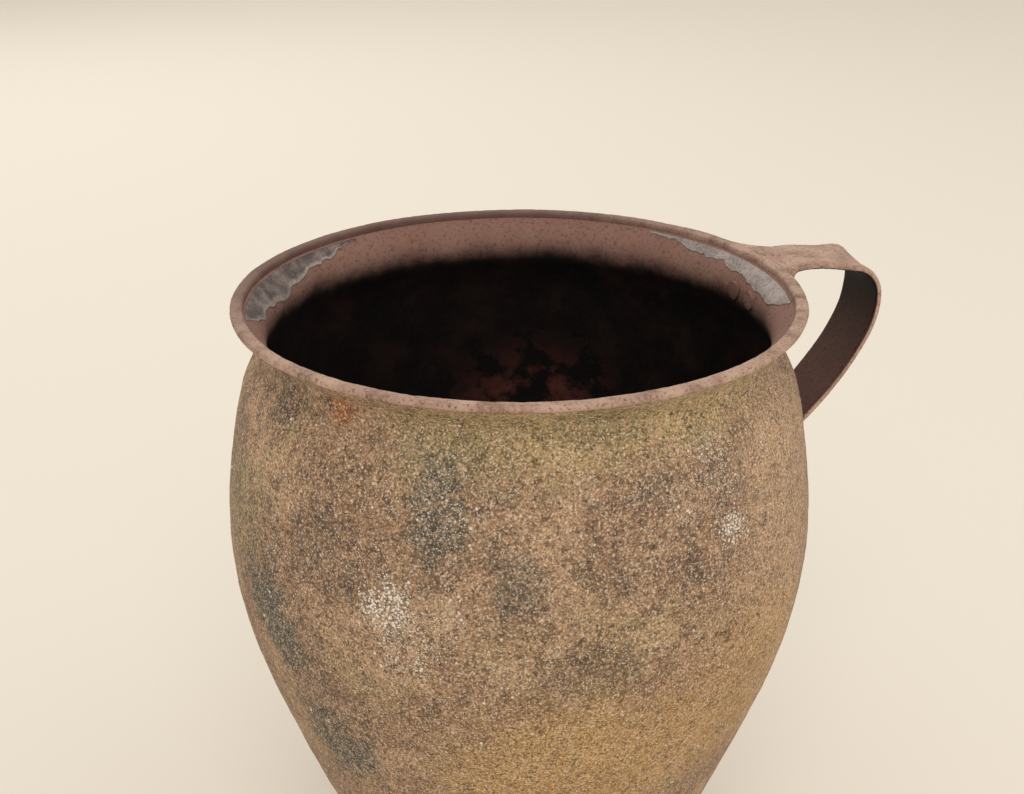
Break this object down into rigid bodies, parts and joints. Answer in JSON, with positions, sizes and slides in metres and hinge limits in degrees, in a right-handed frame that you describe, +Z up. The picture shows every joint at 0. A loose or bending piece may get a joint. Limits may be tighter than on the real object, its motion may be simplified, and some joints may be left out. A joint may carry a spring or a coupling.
{
  "type": "copper mug",
  "caption": "Pot-bellied raised copper mug with a flared mouth, a flat rim band and a riveted strap handle; weathered, with worn tin lining.",
  "frame": {"origin": "centre of the flat underside, on the mug's axis", "axes": "+Z up along the mug's axis, +X towards the handle, +Y to the left of the handle seen from behind it"},
  "size_m": [0.1289, 0.1106, 0.1273],
  "materials": {
    "raised_copper": "weathered copper sheet, matt brown patina with verdigris specks",
    "rim_copper": "weathered copper, pinkish brown",
    "strap_copper": "weathered copper strap, pinkish brown",
    "rivet_copper": "hammered copper rivet, dull",
    "braze": "brass braze, tarnished",
    "tin": "worn hand-wiped tin, dull grey"
  },
  "bodies": {
    "root": {"body_wall": "raised_copper", "rim_band": "rim_copper", "base_disc": "raised_copper", "base_braze": "braze", "handle_strap": "strap_copper", "root_braze": "braze", "upper_rivet_front": "rivet_copper", "upper_rivet_back": "rivet_copper", "lower_rivet_front": "rivet_copper", "lower_rivet_back": "rivet_copper", "tin_lining_left": "tin", "tin_lining_right": "tin"}
  },
  "joints": []
}
